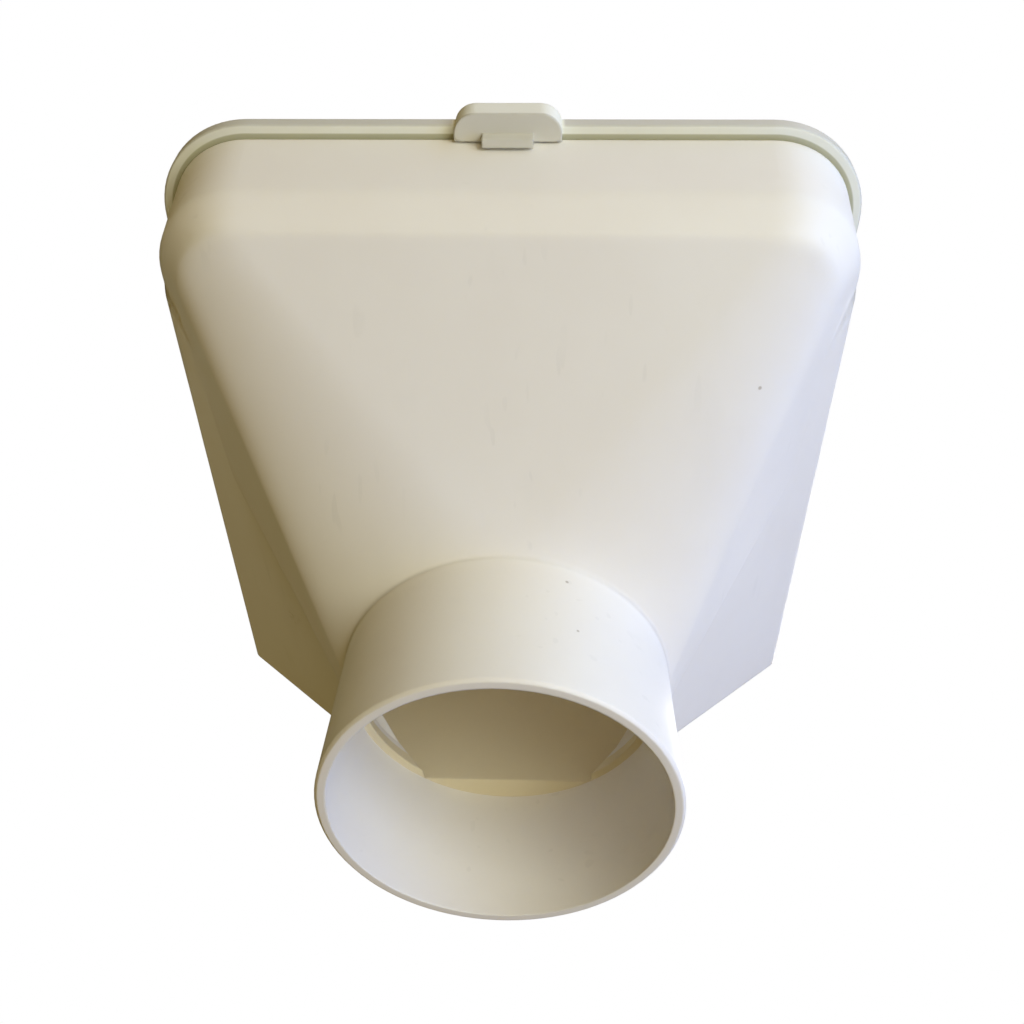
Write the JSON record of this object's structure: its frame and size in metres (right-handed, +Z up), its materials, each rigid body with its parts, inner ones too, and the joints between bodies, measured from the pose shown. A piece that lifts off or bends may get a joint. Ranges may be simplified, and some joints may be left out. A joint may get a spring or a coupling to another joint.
{
  "type": "gutter leaf catcher",
  "caption": "Hopper that pushes over the top of a round downpipe, with a sloping slotted lid that lets rainwater through and keeps leaves out.",
  "frame": {"origin": "centre of the downpipe socket, at the plane of its lower lip", "axes": "+Z up along the downpipe, -Y towards the front where the mouth is lowest, +X across the width"},
  "size_m": [0.171, 0.175, 0.1212],
  "materials": {
    "hopper_plastic": "satin",
    "lid_plastic": "satin"
  },
  "bodies": {
    "root": {"hopper_body": "hopper_plastic", "screen_lid": "lid_plastic"}
  },
  "joints": []
}
